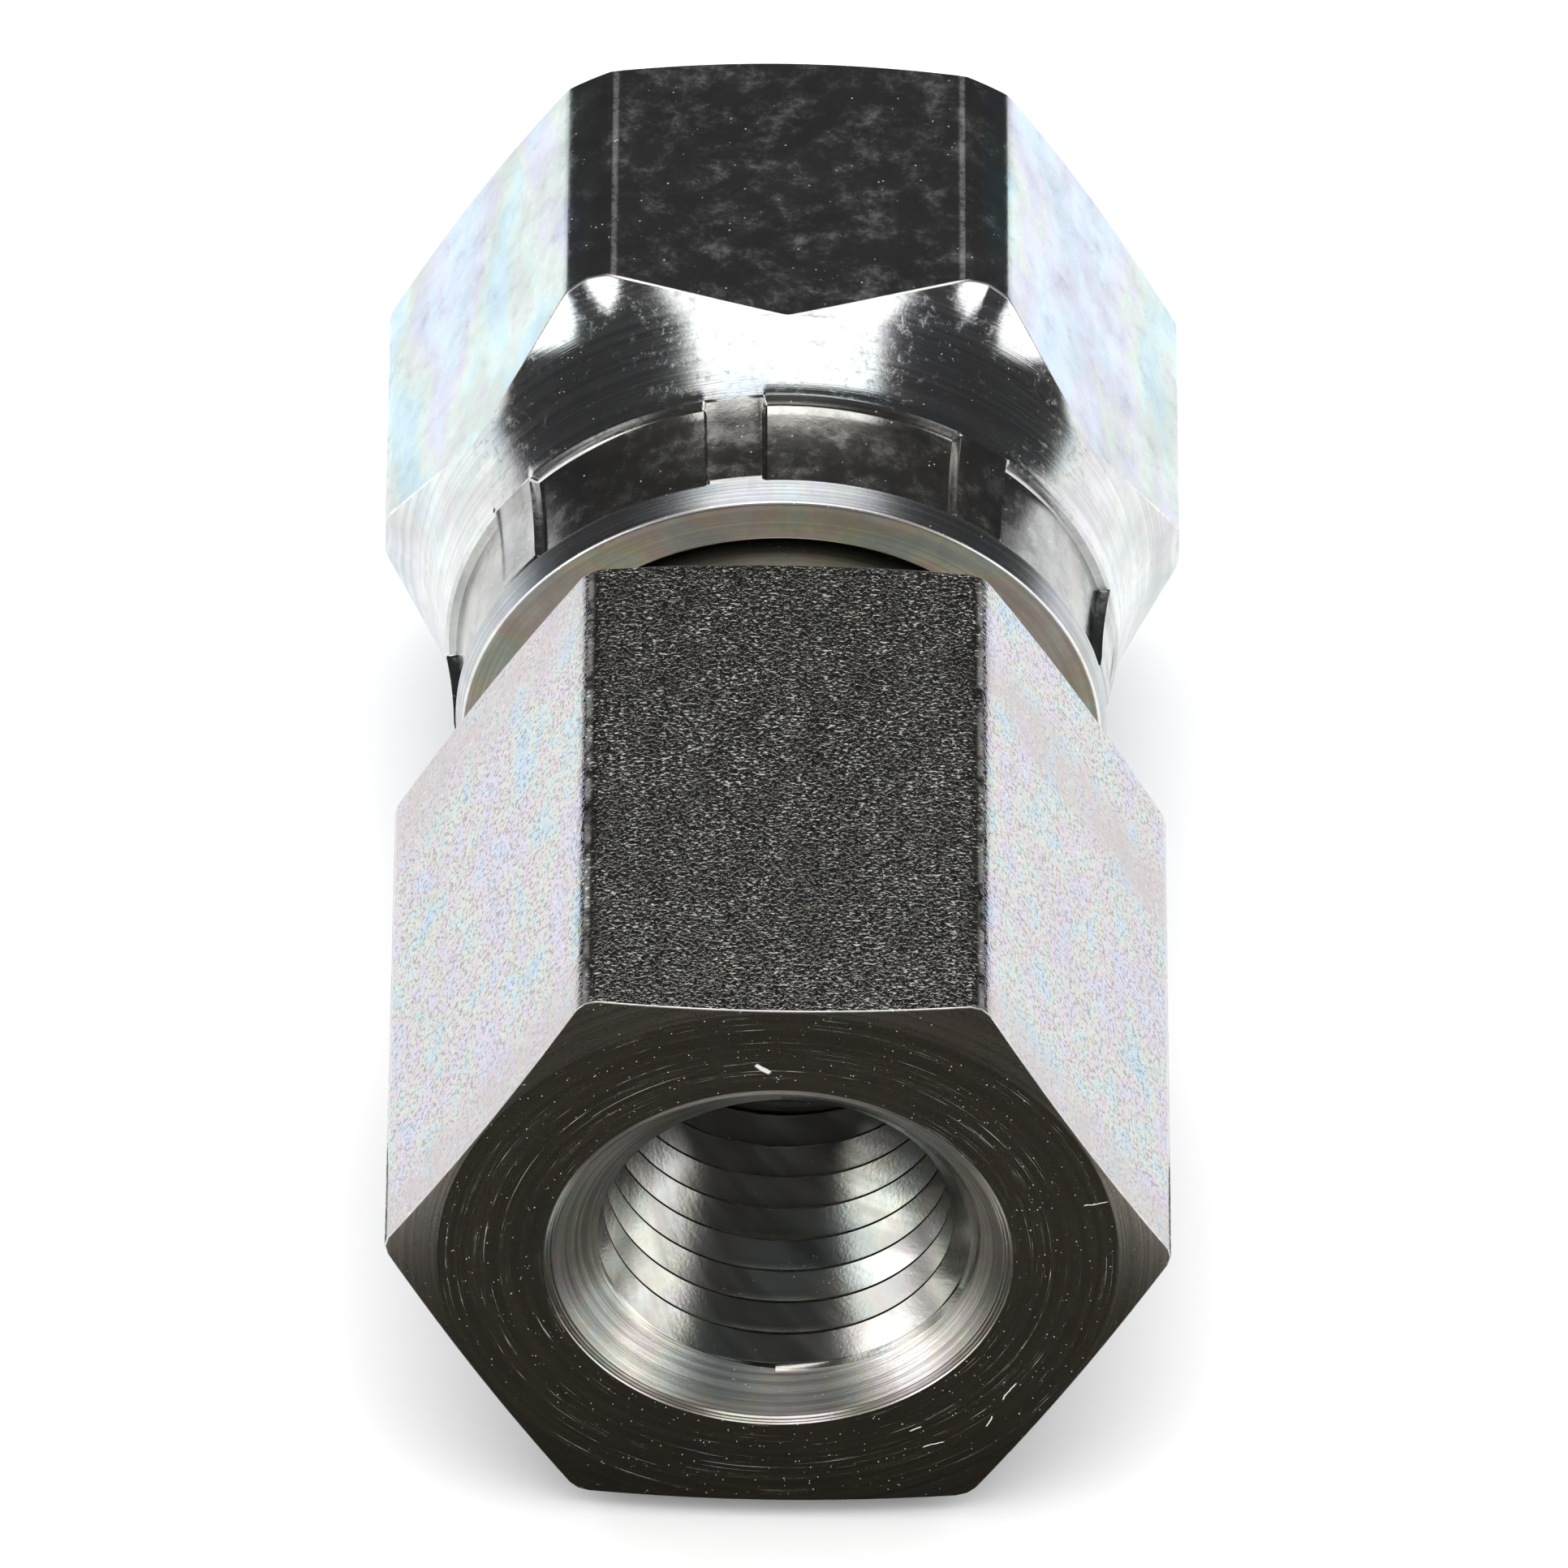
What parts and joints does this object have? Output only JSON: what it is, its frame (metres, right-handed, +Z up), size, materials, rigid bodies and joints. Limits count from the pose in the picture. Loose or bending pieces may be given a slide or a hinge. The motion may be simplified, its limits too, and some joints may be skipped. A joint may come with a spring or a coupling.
{
  "type": "pipe union",
  "caption": "Straight swivel pipe union: a hexagonal body with a threaded port and a bored stem, and a hexagonal nut crimped onto the stem that turns freely.",
  "frame": {"origin": "middle of the overall length, on the axis that both ports share", "axes": "+Y along the ports' axis from the body's mouth towards the swivel nut's mouth; +Z up, out of the top flats of both hexagons; +X towards a corner of both hexagons"},
  "size_m": [0.0266, 0.0448, 0.0238],
  "materials": {
    "body_plating": "zinc plated drawn hexagon bar, clear chromate with faint pink and yellow iridescence",
    "nut_plating": "zinc plated turned steel, blue-white clear chromate with cloudy patches"
  },
  "bodies": {
    "body": {"body": "body_plating"},
    "nut": {"swivel_nut": "nut_plating"}
  },
  "joints": [
    {"name": "nut_swivel", "type": "hinge", "parent": "body", "child": "nut", "pos_m": [0, 0.0155, 0], "axis": [0, 1, 0], "continuous": true}
  ]
}
